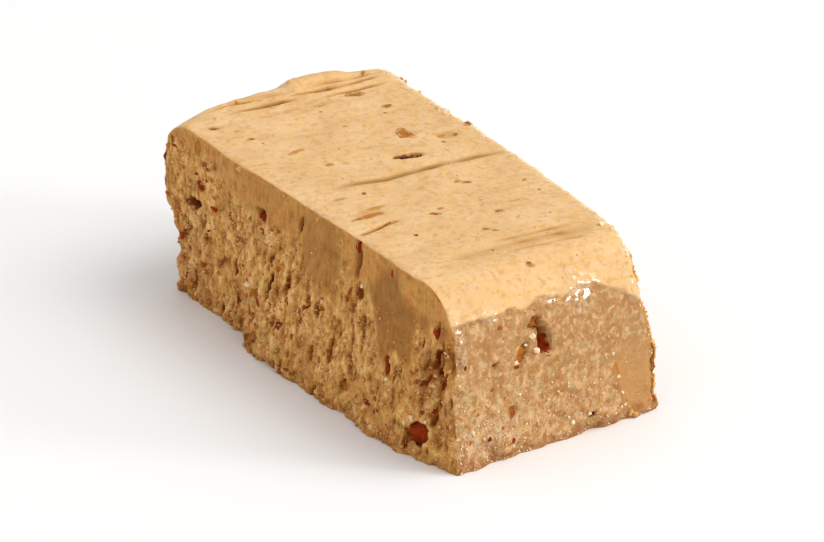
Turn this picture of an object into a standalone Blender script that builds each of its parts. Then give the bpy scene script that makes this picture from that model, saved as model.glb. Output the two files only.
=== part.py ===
"""A hand-cut slice of soft almond nougat, as one solid.

Its length runs along +X, between two short moulded ends with soft shoulders at the top. Its two
long faces, at -Y and +Y, are knife cuts: smeared smooth along the top, torn and crumbly below. It
rests on its flat underside, and the origin is the middle of that side. Sizes are in metres.
"""

import math

import bmesh
import bpy
from mathutils import Vector, noise

# Driving dimensions
LENGTH = 0.0592  # between the moulded ends, at half height
THICKNESS = 0.0262  # between the two knife cuts, at the top
HEIGHT = 0.0190
END_SKEW = math.tan(math.radians(8.0))  # the knife ran this far off square to the moulded ends
MIDDLE_X = -0.0014  # half way between the moulded ends, along the slice's middle line

# Moulded ends: how far the shoulder runs inwards along the top, and how far it drops
END_REGION = 0.7  # an end's own form starts at this share of the half length
NEAR_SHOULDER_RUN = 0.0064
NEAR_SHOULDER_DROP = 0.0062
FAR_SHOULDER_RUN = 0.0064
FAR_SHOULDER_DROP = 0.0055
FAR_SHOULDER_SQUARENESS = 0.55  # the far shoulder is this much smaller half way between the cuts
FAR_END_BULGE = 0.0009  # the far end swells by this much, most at this place and over this half width
FAR_END_BULGE_Y = 0.0055
FAR_END_BULGE_WIDTH = 0.0060
FAR_END_UNDERCUT = 0.0026  # the far end draws in between these two heights
FAR_END_UNDERCUT_FOOT = 0.0055
FAR_END_UNDERCUT_TOP = 0.0110
NEAR_CORNER_FLARE = 0.0012  # the near end's front corner spreads below the height after this
NEAR_CORNER_FLARE_TOP = 0.0050

# Knife cuts
FOOT_SPREAD = 0.0022  # the front cut leans out at its foot
FOOT_SPREAD_START = -0.0145  # a piece is broken off the foot on the far side of this
FOOT_SPREAD_FADE = 0.0050  # the foot comes to its full spread over this length
FOOT_CORNER_START = 0.0200  # the spread dies away between these two places, towards the near corner
FOOT_CORNER_END = 0.0275
BACK_TAPER = 0.0028  # the back cut leans in above its lower third, from one place to the next
BACK_TAPER_START = -0.0020
BACK_TAPER_END = 0.0260
SMEARED_BAND = 0.0048  # the knife left the top of each cut smooth for this depth
CRUMB_SIZE = 0.0018
CRUMB_HEIGHT = 0.00062
TORN_PATCH_SIZE = 0.0085  # torn and smooth patches alternate at about this size
LUMP_SIZE = 0.0060
LUMP_HEIGHT = 0.00036
CRAG_SIZE = 0.0030
CRAG_HEIGHT = 0.00085
CRAG_FOOT = 0.0010  # the crags fade out between these two heights
CRAG_TOP = 0.0050

# The spatula's marks across the top: (x, y from, y to, half width, depth)
GROOVE_FADE = 0.0020  # a mark starts and stops over this length
TOP_GROOVES = (
    (-0.0031, -0.0105, 0.0150, 0.0011, 0.00040),
    (-0.0270, -0.0010, 0.0150, 0.0010, 0.00034),
    (-0.0247, 0.0020, 0.0150, 0.0009, 0.00024),
    (0.0190, -0.0070, 0.0110, 0.0016, 0.00026),
    (0.0090, -0.0150, -0.0070, 0.0008, 0.00034),
)

# Holes where almond pieces fell out: (place on the surface, radius, depth)
HOLES = (
    ((0.0282, -0.0018, 0.0114), 0.0019, 0.0013),
    ((0.0286, -0.0046, 0.0104), 0.0014, 0.0007),
    ((0.0285, -0.0026, 0.0138), 0.0013, 0.0006),
    ((-0.0063, 0.0032, 0.0190), 0.0011, 0.0008),
    ((-0.0235, -0.0130, 0.0112), 0.0014, 0.0010),
    ((0.0268, -0.0130, 0.0110), 0.0015, 0.0010),
    ((0.0112, -0.0130, 0.0160), 0.0012, 0.0008),
    ((0.0218, -0.0140, 0.0022), 0.0016, 0.0006),
    ((-0.0040, 0.0135, 0.0130), 0.0020, 0.0013),
    ((0.0030, 0.0135, 0.0105), 0.0017, 0.0011),
    ((-0.0310, 0.0030, 0.0105), 0.0015, 0.0009),
)

GRID_CELL = 0.00104
PASTE_COLOUR = (0.80, 0.55, 0.30, 1.0)


def smooth_step(low, high, value):
    """0 below low and 1 above high, with a smooth rise between them."""
    share = min(1.0, max(0.0, (value - low) / (high - low)))
    return share * share * (3.0 - 2.0 * share)


def round_shoulder(along, height, run, drop):
    """Draws the square corner between the top and an end in to a quarter ellipse.

    along is the distance from the middle towards the end.
    """
    beyond = (along - (LENGTH / 2 - run)) / run
    above = (height - (HEIGHT - drop)) / drop
    if beyond <= 0.0 or above <= 0.0:
        return along, height
    reach = max(beyond, above) / math.hypot(beyond, above)
    return LENGTH / 2 - run + run * beyond * reach, HEIGHT - drop + drop * above * reach


def far_end_form(along, y, z):
    """The far end: squarer and swollen half way between the cuts, and drawn in at the foot."""
    middle = 1.0 - min(1.0, abs(2.0 * y / THICKNESS)) ** 3
    size = 1.0 - FAR_SHOULDER_SQUARENESS * middle
    along, z = round_shoulder(along, z, FAR_SHOULDER_RUN * size, FAR_SHOULDER_DROP * size)
    to_end = smooth_step(END_REGION, 1.0, 2 * along / LENGTH)
    undercut = FAR_END_UNDERCUT * (1.0 - smooth_step(FAR_END_UNDERCUT_FOOT, FAR_END_UNDERCUT_TOP, z))
    bulge = FAR_END_BULGE * math.exp(-(((y - FAR_END_BULGE_Y) / FAR_END_BULGE_WIDTH) ** 2))
    return along + to_end * (bulge - undercut), z


def near_end_form(along, y, z):
    """The near end: an even shoulder, and a front corner that spreads at its foot."""
    along, z = round_shoulder(along, z, NEAR_SHOULDER_RUN, NEAR_SHOULDER_DROP)
    to_end = smooth_step(END_REGION, 1.0, 2 * along / LENGTH)
    at_corner = 1.0 - smooth_step(-0.5 * THICKNESS, -0.2 * THICKNESS, y)
    flare = NEAR_CORNER_FLARE * at_corner * (1.0 - smooth_step(0.0, NEAR_CORNER_FLARE_TOP, z))
    return along + to_end * flare, z


def slice_form(block):
    """Moves a point of the plain block to where the slice has it, without its fine relief."""
    x, y, z = block
    end_form = far_end_form if x < 0.0 else near_end_form
    along, z = end_form(abs(x), y, z)
    x = math.copysign(along, x)
    side = 2.0 * y / THICKNESS
    if side < 0.0:
        spread = FOOT_SPREAD * smooth_step(FOOT_SPREAD_START, FOOT_SPREAD_START + FOOT_SPREAD_FADE, x)
        spread *= 1.0 - 0.9 * smooth_step(FOOT_CORNER_START, FOOT_CORNER_END, x)
        y += side * spread * (1.0 - z / HEIGHT) ** 1.3
    else:
        taper = BACK_TAPER * smooth_step(BACK_TAPER_START, BACK_TAPER_END, x)
        y -= side * taper * smooth_step(0.30 * HEIGHT, 0.90 * HEIGHT, z)
    return Vector((MIDDLE_X + x - END_SKEW * y, y, z))


def on_cut_face(normal):
    """1 on the two knife cuts, and 0 on the top and the moulded ends."""
    return smooth_step(0.55, 0.85, abs(normal.y))


def crumb_relief(place, normal):
    """The torn paste of a cut: lumps and coarse crumbs below the band that the knife smeared."""
    torn = 1.0 - smooth_step(HEIGHT - 2 * SMEARED_BAND, HEIGHT - SMEARED_BAND, place.z)
    patch = smooth_step(-0.25, 0.15, noise.noise(place / TORN_PATCH_SIZE))
    coarse = noise.noise(place / CRUMB_SIZE) + 0.5 * noise.noise(place / (0.5 * CRUMB_SIZE))
    return on_cut_face(normal) * CRUMB_HEIGHT * (0.12 + torn * patch) * coarse


def crag_relief(place, normal):
    """The foot's broken edge: crags that fade out a few millimetres above the underside."""
    near_foot = 1.0 - smooth_step(CRAG_FOOT, CRAG_TOP, place.z)
    side_on = 1.0 - abs(normal.z)
    crags = noise.noise(place / CRAG_SIZE) + 0.45 * noise.noise(place / (0.4 * CRAG_SIZE))
    return near_foot * side_on * CRAG_HEIGHT * crags


def groove_relief(place, normal):
    """Shallow marks that the spatula drew across the top."""
    depth = 0.0
    for x, start, stop, half_width, deepest in TOP_GROOVES:
        within = smooth_step(start, start + GROOVE_FADE, place.y)
        within *= 1.0 - smooth_step(stop - GROOVE_FADE, stop, place.y)
        depth += deepest * within * math.exp(-(((place.x - x) / half_width) ** 2))
    return -depth * smooth_step(0.6, 0.9, normal.z)


def hole_relief(place):
    """Round holes, deepest in the middle."""
    depth = 0.0
    for centre, radius, deepest in HOLES:
        away = (place - Vector(centre)).length / radius
        depth += deepest * math.exp(-(away**2))
    return -depth


def relief(place, normal):
    """How far the surface stands out from the slice's plain form at a place."""
    lumps = LUMP_HEIGHT * noise.noise(place / LUMP_SIZE)
    fine = crumb_relief(place, normal) + crag_relief(place, normal)
    return lumps + fine + groove_relief(place, normal) + hole_relief(place)


def cut_across(mesh, axis, size, middle):
    """Cuts the block into equal slabs along one axis, each about a grid cell thick."""
    count = round(size / GRID_CELL)
    for step in range(1, count):
        plane = Vector((0.0, 0.0, 0.0))
        plane[axis] = middle + size * (step / count - 0.5)
        normal = Vector((0.0, 0.0, 0.0))
        normal[axis] = 1.0
        everything = [*mesh.verts, *mesh.edges, *mesh.faces]
        bmesh.ops.bisect_plane(mesh, geom=everything, plane_co=plane, plane_no=normal)


def gridded_block():
    """A plain block of the slice's size, standing on its foot, with its faces cut into cells."""
    mesh = bmesh.new()
    bmesh.ops.create_cube(mesh, size=1.0)
    bmesh.ops.scale(mesh, vec=(LENGTH, THICKNESS, HEIGHT), verts=mesh.verts)
    bmesh.ops.translate(mesh, vec=(0.0, 0.0, HEIGHT / 2), verts=mesh.verts)
    cut_across(mesh, 0, LENGTH, 0.0)
    cut_across(mesh, 1, THICKNESS, 0.0)
    cut_across(mesh, 2, HEIGHT, HEIGHT / 2)
    return mesh


def make_underside_one_face(mesh):
    """Joins the underside's cells, which are all in one plane."""
    underside = [face for face in mesh.faces if face.calc_center_median().z < 1e-6]
    bmesh.ops.dissolve_faces(mesh, faces=underside, use_verts=False)


def shape_slice(mesh):
    """Gives the block the slice's form, and then its relief along each point's normal."""
    for vert in mesh.verts:
        vert.co = slice_form(vert.co)
    mesh.normal_update()
    moves = {}
    for vert in mesh.verts:
        move = vert.normal * relief(vert.co, vert.normal)
        if vert.co.z < 1e-6:
            move.z = 0.0
        moves[vert] = move
    for vert, move in moves.items():
        vert.co += move


def centre_on_origin(mesh):
    """Puts the origin in the middle of the slice's box, at its foot."""
    middle = Vector((0.0, 0.0, 0.0))
    for axis in (0, 1):
        places = [vert.co[axis] for vert in mesh.verts]
        middle[axis] = (min(places) + max(places)) / 2
    bmesh.ops.translate(mesh, vec=-middle, verts=mesh.verts)


def nougat_material():
    material = bpy.data.materials.new("nougat")
    material.use_nodes = True
    shader = material.node_tree.nodes["Principled BSDF"]
    shader.inputs["Base Color"].default_value = PASTE_COLOUR
    shader.inputs["Roughness"].default_value = 0.55
    shader.inputs["Metallic"].default_value = 0.0
    return material


def clear_scene():
    for obj in list(bpy.data.objects):
        bpy.data.objects.remove(obj)


def build_slice():
    mesh = gridded_block()
    make_underside_one_face(mesh)
    shape_slice(mesh)
    centre_on_origin(mesh)
    data = bpy.data.meshes.new("slice")
    mesh.to_mesh(data)
    mesh.free()
    data.materials.append(nougat_material())
    data.shade_smooth()
    collection = bpy.data.collections.new("nougat_slice")
    bpy.context.scene.collection.children.link(collection)
    collection.objects.link(bpy.data.objects.new("slice", data))


clear_scene()
build_slice()
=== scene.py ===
"""The looks of a hand-cut slice of soft almond nougat, around its solid.

Metres, +Z up. The tables of holes, grooves, skins and grains are written in millimetres.
"""
import math

import bpy
import numpy as np
from mathutils import Matrix, Vector


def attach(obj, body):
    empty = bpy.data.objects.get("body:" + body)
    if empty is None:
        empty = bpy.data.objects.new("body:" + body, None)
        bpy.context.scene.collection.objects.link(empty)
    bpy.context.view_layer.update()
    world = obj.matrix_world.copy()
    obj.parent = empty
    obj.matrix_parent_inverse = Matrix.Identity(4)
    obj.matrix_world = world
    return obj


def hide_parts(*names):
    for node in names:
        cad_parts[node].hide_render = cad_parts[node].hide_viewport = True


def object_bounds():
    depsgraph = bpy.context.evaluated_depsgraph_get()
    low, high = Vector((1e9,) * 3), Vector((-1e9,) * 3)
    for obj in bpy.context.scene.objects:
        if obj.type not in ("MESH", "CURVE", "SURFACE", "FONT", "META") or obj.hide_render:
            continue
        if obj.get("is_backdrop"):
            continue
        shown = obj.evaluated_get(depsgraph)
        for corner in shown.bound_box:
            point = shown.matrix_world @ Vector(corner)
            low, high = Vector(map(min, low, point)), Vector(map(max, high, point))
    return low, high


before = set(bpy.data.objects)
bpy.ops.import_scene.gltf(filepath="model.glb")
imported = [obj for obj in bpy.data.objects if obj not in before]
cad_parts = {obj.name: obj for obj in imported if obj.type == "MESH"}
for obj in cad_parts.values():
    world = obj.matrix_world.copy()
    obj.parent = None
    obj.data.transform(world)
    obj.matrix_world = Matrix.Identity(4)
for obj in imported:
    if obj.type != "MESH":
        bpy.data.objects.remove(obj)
solid_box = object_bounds()


# The paste's form.
# Ground almonds, sugar and honey, pressed in a mould and sliced with a knife: two short moulded
# ends with soft shoulders, a top drawn flat with a spatula, and two long cuts. A block of the
# slice's size is cut into a fine grid, and each of its points is moved to the slice's form.
LENGTH = 0.0592  # between the moulded ends, at half height
THICKNESS = 0.0262  # between the two knife cuts, at the top
HEIGHT = 0.0190
END_SKEW = math.tan(math.radians(8.0))
MIDDLE_X = -0.0014
BOX_MIDDLE = np.array([-0.00099, -0.00091, 0.0])  # the middle of the slice's box, where the origin goes

END_REGION = 0.7
NEAR_SHOULDER = (0.0064, 0.0062)  # run along the top, and drop
FAR_SHOULDER = (0.0064, 0.0055)
FAR_SHOULDER_SQUARENESS = 0.55
FAR_END_BULGE = 0.0009
FAR_END_BULGE_Y = 0.0055
FAR_END_BULGE_WIDTH = 0.0060
FAR_END_UNDERCUT = 0.0026
FAR_END_UNDERCUT_HEIGHTS = (0.0055, 0.0110)
NEAR_CORNER_FLARE = 0.0004
NEAR_CORNER_FLARE_TOP = 0.0050
FOOT_SPREAD = 0.00195
FOOT_SPREAD_PLACES = (-0.0145, -0.0095)
FOOT_CORNER_PLACES = (0.0200, 0.0275)
FAR_FOOT_DRAW = 0.0003  # beyond the spread, the foot stands back this much
FAR_FRONT_GROWTH = 0.00095  # the far end's front corner stands out this much more
FAR_LIFT = 0.00032  # and the top rises this much towards it
# How far in the back cut leans at the top: at each place along the slice
BACK_LEAN_PLACES = (-0.0296, -0.0150, 0.0000, 0.0080, 0.0220, 0.0260, 0.0296)
BACK_LEAN = (-0.00025, 0.0, 0.0002, 0.0008, 0.00175, 0.0021, 0.0026)
EDGE_RADIUS = 0.00036  # the knife's edges along the top are this soft
CUT_CELL = 0.00021
DEPTH_CELL = 0.00033


def smooth_step(low, high, value):
    """0 below low and 1 above high, rising between them as 3 t^2 - 2 t^3."""
    share = np.clip((value - low) / (high - low), 0.0, 1.0)
    return share * share * (3.0 - 2.0 * share)


def crowded(size, cell, crowding):
    """Places from -size/2 to size/2, closer together towards both ends: t (1 + c) - c t^3."""
    t = np.linspace(-1.0, 1.0, round(size / cell) + 1)
    return size / 2 * (t * (1.0 + crowding) - crowding * t**3)


def soften_cut_edges(block):
    """Rounds the block's edges between the cuts and the top or ends.

    A point that lies d from such an edge, on either face, goes to the arc of the edge's radius r
    at the angle 45 (1 - d / r) degrees: in by r (1 - cos), and r (1 - sin) from the edge.
    """
    from_cut = THICKNESS / 2 - np.abs(block[:, 1])
    from_end = LENGTH / 2 - np.abs(block[:, 0])
    from_top = HEIGHT - block[:, 2]
    from_rim = np.minimum(from_end, from_top)

    def arc(away):
        angle = math.pi / 4 * (1.0 - np.clip(away / EDGE_RADIUS, 0.0, 1.0))
        return EDGE_RADIUS * (1.0 - np.cos(angle)), EDGE_RADIUS * (1.0 - np.sin(angle))

    on_rim = (from_rim < 1e-9) & (from_cut < EDGE_RADIUS)
    on_cut = (from_cut < 1e-9) & (from_rim < EDGE_RADIUS)
    rim_in, rim_away = arc(from_cut)
    cut_in, cut_away = arc(from_rim)
    new_from_cut = np.where(on_rim, rim_away, np.where(on_cut, cut_in, from_cut))
    push_in = np.where(on_rim, rim_in, np.where(on_cut, cut_away - from_rim, 0.0))
    moved = block.copy()
    moved[:, 1] = np.sign(block[:, 1]) * (THICKNESS / 2 - new_from_cut)
    top_nearest = from_top <= from_end
    moved[:, 2] -= np.where(top_nearest, push_in, 0.0)
    moved[:, 0] -= np.where(top_nearest, 0.0, np.sign(block[:, 0]) * push_in)
    return moved


def round_shoulder(along, height, run, drop):
    """Draws the square corner between the top and an end in to a quarter ellipse."""
    beyond = (along - (LENGTH / 2 - run)) / run
    above = (height - (HEIGHT - drop)) / drop
    in_corner = (beyond > 0.0) & (above > 0.0)
    reach = np.maximum(beyond, above) / np.maximum(np.hypot(beyond, above), 1e-9)
    rounded_along = LENGTH / 2 - run + run * beyond * reach
    rounded_height = HEIGHT - drop + drop * above * reach
    return np.where(in_corner, rounded_along, along), np.where(in_corner, rounded_height, height)


def foot_spread(x, z):
    """How far the front cut's foot stands out, at places along the block and heights."""
    risen = smooth_step(*FOOT_SPREAD_PLACES, x)
    spread = FOOT_SPREAD * risen * (1.0 - 0.9 * smooth_step(*FOOT_CORNER_PLACES, x))
    spread = spread - FAR_FOOT_DRAW * (1.0 - risen)
    return spread * np.maximum(0.0, 1.0 - z / HEIGHT) ** 1.3


def slice_form(block):
    """The block's points, moved to the slice's form: ends, foot, leaning back cut, and slant."""
    x, y, z = block.T
    half_depth = np.abs(2.0 * y / THICKNESS)
    size = 1.0 - FAR_SHOULDER_SQUARENESS * (1.0 - np.minimum(1.0, half_depth) ** 3)
    far_along, far_z = round_shoulder(-x, z, FAR_SHOULDER[0] * size, FAR_SHOULDER[1] * size)
    undercut = FAR_END_UNDERCUT * (1.0 - smooth_step(*FAR_END_UNDERCUT_HEIGHTS, far_z))
    bulge = FAR_END_BULGE * np.exp(-(((y - FAR_END_BULGE_Y) / FAR_END_BULGE_WIDTH) ** 2))
    growth = FAR_FRONT_GROWTH * (1.0 - smooth_step(-0.3 * THICKNESS, 0.1 * THICKNESS, y))
    at_end = smooth_step(END_REGION, 1.0, 2 * far_along / LENGTH)
    far_along = far_along + at_end * (bulge + growth - undercut)
    lift = FAR_LIFT * smooth_step(0.55, 0.95, 2 * far_along / LENGTH)
    far_z = far_z + lift * smooth_step(0.5, 1.0, z / HEIGHT)
    near_along, near_z = round_shoulder(x, z, *NEAR_SHOULDER)
    at_corner = 1.0 - smooth_step(-0.5 * THICKNESS, -0.2 * THICKNESS, y)
    flare = NEAR_CORNER_FLARE * at_corner * (1.0 - smooth_step(0.0, NEAR_CORNER_FLARE_TOP, near_z))
    near_along = near_along + smooth_step(END_REGION, 1.0, 2 * near_along / LENGTH) * flare
    x, z = np.where(x < 0.0, -far_along, near_along), np.where(x < 0.0, far_z, near_z)
    lean = np.interp(x, BACK_LEAN_PLACES, BACK_LEAN) * smooth_step(0.30 * HEIGHT, 0.90 * HEIGHT, z)
    y = y - half_depth * np.where(y < 0.0, foot_spread(x, z), lean)
    return np.stack([MIDDLE_X + x - END_SKEW * y, y, z], axis=1)


def block_side(first, second, fixed_axis, fixed_at):
    """The grid of points of one side of the block, from the places along its two other axes."""
    grid = np.empty((len(first), len(second), 3))
    free = [axis for axis in range(3) if axis != fixed_axis]
    grid[..., free[0]] = first[:, None]
    grid[..., free[1]] = second[None, :]
    grid[..., fixed_axis] = fixed_at
    return grid


along_places = crowded(LENGTH, CUT_CELL, 0.10)
depth_places = crowded(THICKNESS, DEPTH_CELL, 0.32)
height_places = HEIGHT / 2 + crowded(HEIGHT, CUT_CELL, 0.10)
SIDES = {
    "front": (along_places, height_places, 1, -THICKNESS / 2),
    "back": (along_places, height_places, 1, THICKNESS / 2),
    "top": (along_places, depth_places, 2, HEIGHT),
    "near": (depth_places, height_places, 0, LENGTH / 2),
    "far": (depth_places, height_places, 0, -LENGTH / 2),
}
side_grids = {side: block_side(*plane) for side, plane in SIDES.items()}
TURNED_SIDES = ("back", "far")  # their grids run clockwise seen from outside
every_point = np.concatenate([grid.reshape(-1, 3) for grid in side_grids.values()])
rounded = np.round(every_point * 1e7).astype(np.int64)
_, first_use, merged = np.unique(rounded, axis=0, return_index=True, return_inverse=True)
block_points = every_point[first_use]
merged = merged.reshape(-1)
side_index = {}
start = 0
for side, grid in side_grids.items():
    count = grid.shape[0] * grid.shape[1]
    side_index[side] = merged[start:start + count].reshape(grid.shape[:2])
    start += count


def side_quads(side):
    """The grid's cells as rings of four points, counter-clockwise seen from outside."""
    index = side_index[side]
    ring = [index[:-1, :-1], index[1:, :-1], index[1:, 1:], index[:-1, 1:]]
    if side in TURNED_SIDES:
        ring = ring[::-1]
    return np.stack(ring, axis=-1).reshape(-1, 4)


paste_quads = np.concatenate([side_quads(side) for side in side_grids])


def point_normals(points):
    """Unit normals at the points: the sum of the cross products of their cells' diagonals."""
    corners = points[paste_quads]
    cell = np.cross(corners[:, 2] - corners[:, 0], corners[:, 3] - corners[:, 1])
    total = np.zeros_like(points)
    for corner in range(4):
        np.add.at(total, paste_quads[:, corner], cell)
    return total / np.linalg.norm(total, axis=1, keepdims=True)


# The paste's relief.
# Gentle lumps everywhere. On the cuts the knife smeared the top band smooth and tore the rest
# into clods and ridges with pits between them. The top keeps the spatula's marks, the foot is
# craggy, and almond pieces that came away left holes.
LUMP_SIZE, LUMP_HEIGHT = 0.0060, 0.00034
SMEARED_BANDS = (0.0008, 0.0038)  # how far down the smooth band reaches, at the far end and elsewhere
CRAG_SIZE, CRAG_HEIGHT = 0.0030, 0.00075
CRAG_HEIGHTS = (0.0010, 0.0050)
TEAR_SIZE, TEAR_HEIGHT = 0.0016, 0.00034
GRANULE_SIZE, GRANULE_HEIGHT = 0.00072, 0.00022
PIT_SIZE, PIT_DEPTH = 0.0014, 0.00050
TORN_PATCH_SIZE = 0.0075
STREAK_HEIGHT = 0.00009
DRAG_LEAN = 0.28  # the knife's marks lean this far along the slice for each unit up
# The cuts' colour follows their marks: painted light on the high ones, painted shade in the low ones and in
# deep holes
MARK_RANGE = 0.0003  # marks this high or deep show fully light or dark
DARK_DEPTH = 0.0006  # and holes this deep are fully dark


def in_metres(lengths, rows):
    """Rows that each begin with so many lengths in millimetres, with those lengths in metres."""
    return [[*(length / 1000 for length in row[:lengths]), *row[lengths:]] for row in rows]


# Patches of a cut that the knife smeared smooth and dark: (x, z, half length, half height, darkness)
SMEARS = in_metres(4, (
    (3.2, 15.0, 4.8, 6.2, 0.6),
    (18.8, 13.4, 5.2, 5.6, 1.0),
    (-8.0, 17.4, 8.5, 2.6, 0.2),
))
# Holes in the cuts: (x, z, half length, half height, depth, tilt in degrees)
FRONT_HOLES = in_metres(5, (
    (-23.5, 11.1, 2.0, 0.7, 1.2, 16),
    (-8.5, 15.2, 1.1, 0.6, 0.7, -12),
    (-0.6, 16.6, 0.4, 1.1, 0.8, -18),
    (11.2, 17.3, 0.5, 1.5, 1.0, 8),
    (12.0, 13.7, 0.7, 1.0, 0.7, 20),
    (13.0, 10.1, 0.4, 1.6, 0.6, 6),
    (-5.7, 8.4, 0.34, 1.8, 0.9, -18),
    (-2.5, 9.7, 0.34, 1.6, 0.9, -12),
    (-15.2, 6.8, 0.5, 1.2, 0.5, -12),
    (18.3, 8.0, 0.6, 1.4, 0.8, 10),
    (27.0, 11.7, 0.4, 1.6, 1.0, -32),
    (28.4, 9.5, 0.4, 1.6, 1.0, -30),
    (27.0, 14.8, 0.3, 1.0, 0.7, -10),
    (25.4, 8.8, 0.3, 1.0, 0.6, -40),
    (24.9, 10.2, 0.2, 0.9, 0.4, -38),
    (27.8, 9.9, 0.3, 1.2, 0.9, -12),
    (27.6, 7.9, 0.3, 1.2, 0.8, -25),
    (28.0, 12.8, 0.3, 1.0, 0.7, -8),
    (24.4, 12.4, 0.2, 0.9, 0.4, -20),
    (27.8, 10.9, 0.4, 1.4, 0.9, -30),
    (24.4, 8.2, 0.3, 0.9, 0.5, -30),
    (26.3, 4.7, 0.3, 1.0, 0.6, -30),
    (28.4, 6.1, 0.3, 1.0, 0.7, -20),
    (10.2, 3.1, 0.7, 0.7, 0.5, 0),
    (7.0, 5.6, 0.4, 1.3, 0.6, -8),
    (-21.6, 13.7, 0.6, 0.6, 0.4, 0),
    (24.2, 2.8, 1.5, 1.4, 0.5, 0),
))
BACK_HOLES = in_metres(5, (
    (-5.0, 12.5, 2.0, 1.3, 1.4, 12),
    (1.2, 10.8, 1.4, 1.6, 1.2, -20),
    (7.0, 8.5, 0.9, 1.3, 0.9, 25),
    (-18.5, 9.0, 1.0, 0.7, 0.8, 0),
    (16.0, 13.2, 0.7, 1.0, 0.7, 10),
    (-12.0, 5.0, 0.8, 1.2, 0.8, -15),
    (20.5, 5.5, 1.2, 0.7, 0.8, 15),
    (-25.5, 12.8, 0.8, 0.8, 0.7, 0),
))
# Holes in the two moulded ends: (y, z, half width, half height, depth, tilt in degrees)
NEAR_HOLES = in_metres(5, (
    (-1.5, 11.3, 0.8, 1.6, 1.5, 12),
    (-2.6, 13.7, 0.8, 0.9, 0.9, 0),
    (-4.4, 10.7, 0.7, 1.5, 0.5, -28),
    (4.6, 1.8, 0.4, 0.5, 0.6, 0),
    (-5.7, 4.9, 0.5, 0.8, 0.4, 15),
    (-7.8, 10.5, 0.3, 0.4, 0.4, 0),
))
FAR_HOLES = in_metres(5, (
    (3.0, 10.8, 1.3, 1.0, 1.2, 10),
    (6.5, 13.2, 0.7, 0.6, 0.6, 0),
    (-7.0, 8.2, 0.8, 1.0, 0.8, -20),
    (-3.5, 14.5, 0.5, 0.5, 0.5, 0),
))
# The spatula's marks across the top: (x, y from, y to, half width, depth, how much painted shade lies in
# it)
TOP_GROOVES = in_metres(5, (
    (-2.3, -10.0, 13.6, 0.6, 0.22, 0.80),
    (-26.9, -1.0, 13.0, 0.32, 0.52, 0.85),
    (-27.9, 1.5, 13.0, 0.28, 0.46, 0.70),
    (-25.0, 2.0, 12.0, 0.34, 0.48, 0.85),
    (-26.0, -8.0, 2.0, 0.3, 0.3, 0.60),
    (-27.8, -11.0, -2.0, 0.32, 0.28, 0.55),
    (-26.2, 1.0, 8.0, 0.3, 0.3, 0.70),
    (-23.6, -6.0, 6.0, 0.6, 0.14, 0.40),
    (18.4, -3.0, 10.0, 0.4, 0.15, 0.50),
    (20.2, -9.0, 10.6, 1.5, 0.22, 0.42),
    (19.6, -6.0, 9.0, 0.4, 0.13, 0.55),
    (21.4, -4.0, 10.0, 0.5, 0.15, 0.52),
))
GROOVE_FADE = 0.0035
RAGGED_PLACES = (-0.0190, -0.0250)  # the top grows rough between these, towards the far end
FLAP = (-0.0292, 0.0013, 0.0016, 0.0098)  # a torn flap at the far end: x, half width, y from, y to
FLAP_HEIGHT = 0.00070
# Small holes in the top, and dents round the skins, each given painted shade as deep as it is: (x, y, half
# length, half width, depth, tilt)
TOP_HOLES = in_metres(5, (
    (-6.1, 2.9, 1.7, 0.8, 0.9, 82),
    (2.9, 4.5, 0.6, 0.45, 0.2, 60),
    (11.6, 3.3, 0.6, 0.5, 0.14, 60),
    (15.1, -0.4, 0.6, 0.4, 0.15, 60),
    (24.6, -1.0, 0.6, 0.4, 0.14, 70),
    (8.9, -2.8, 0.7, 0.5, 0.2, 40),
    (10.1, 5.9, 1.1, 0.5, 0.08, 95),
    (0.3, -9.1, 1.0, 0.5, 0.1, 100),
    (-18.8, -8.6, 0.6, 0.5, 0.14, 60),
    (-23.2, 2.0, 0.7, 0.45, 0.18, 80),
    (-23.4, -10.5, 0.7, 0.5, 0.2, 70),
    (-23.9, 6.7, 1.4, 0.6, 0.18, 82),
    (-19.5, 8.0, 1.0, 0.7, 0.07, 80),
    (-11.8, 6.0, 1.8, 1.5, 0.07, 60),
    (-9.3, 9.4, 1.7, 1.3, 0.08, 80),
    (5.5, -8.6, 2.4, 1.4, 0.07, 96),
))
TOP_CRACK = ((0.0084, -0.0068), (0.0098, -0.0122))  # from the top into the front edge
FRONT_CRACK_X = 0.0110
CRACK_HALF_WIDTH = 0.00032
RIM_HEIGHT = 0.0158  # the smooth shoulder of the near end stops here in a ragged lip
RIM_BEND = (0.0050, 0.0046)  # beyond this depth the lip runs down, by this much at the back cut
LIP_HEIGHT, LIP_RUN = 0.00030, 0.0022
# Places along the lip, and at the near end's foot, where oil shines: (y, z, half width, half height)
OILY = in_metres(4, (
    (-8.9, 15.7, 1.3, 0.6),
    (-0.6, 15.6, 0.8, 0.6),
    (3.5, 15.2, 1.6, 1.7),
    (5.2, 16.0, 0.8, 0.5),
    (10.0, 14.0, 0.7, 0.9),
    (-8.5, 3.0, 3.2, 1.8),
    (-12.2, 13.2, 0.8, 2.4),
))
GRAIN_HEIGHT = 0.00013
SMEAR_EDGE_Y = 0.0090  # beyond this, the near end's foot was wiped flat
SMEAR_LEAN = 0.24
SMEAR_TOP = 0.0105
SMEAR_DEPTH = 0.00035


def hashed(cells, seed):
    """A fixed random number from 0 to 1 for each cell of whole numbers, by mixing their bits."""
    whole = cells.astype(np.int64).astype(np.uint64)
    mixed = whole[..., 0] * np.uint64(73856093) ^ whole[..., 1] * np.uint64(19349663)
    mixed = mixed ^ whole[..., 2] * np.uint64(83492791) ^ np.uint64(seed * 2654435761 % 2**32)
    mixed = (mixed ^ (mixed >> np.uint64(15))) * np.uint64(2246822519) & np.uint64(0xFFFFFFFF)
    mixed = (mixed ^ (mixed >> np.uint64(13))) * np.uint64(3266489917) & np.uint64(0xFFFFFFFF)
    return (mixed ^ (mixed >> np.uint64(16))).astype(np.float64) / 2**32


CUBE_CORNERS = np.array([(i, j, k) for i in (0, 1) for j in (0, 1) for k in (0, 1)])


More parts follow.
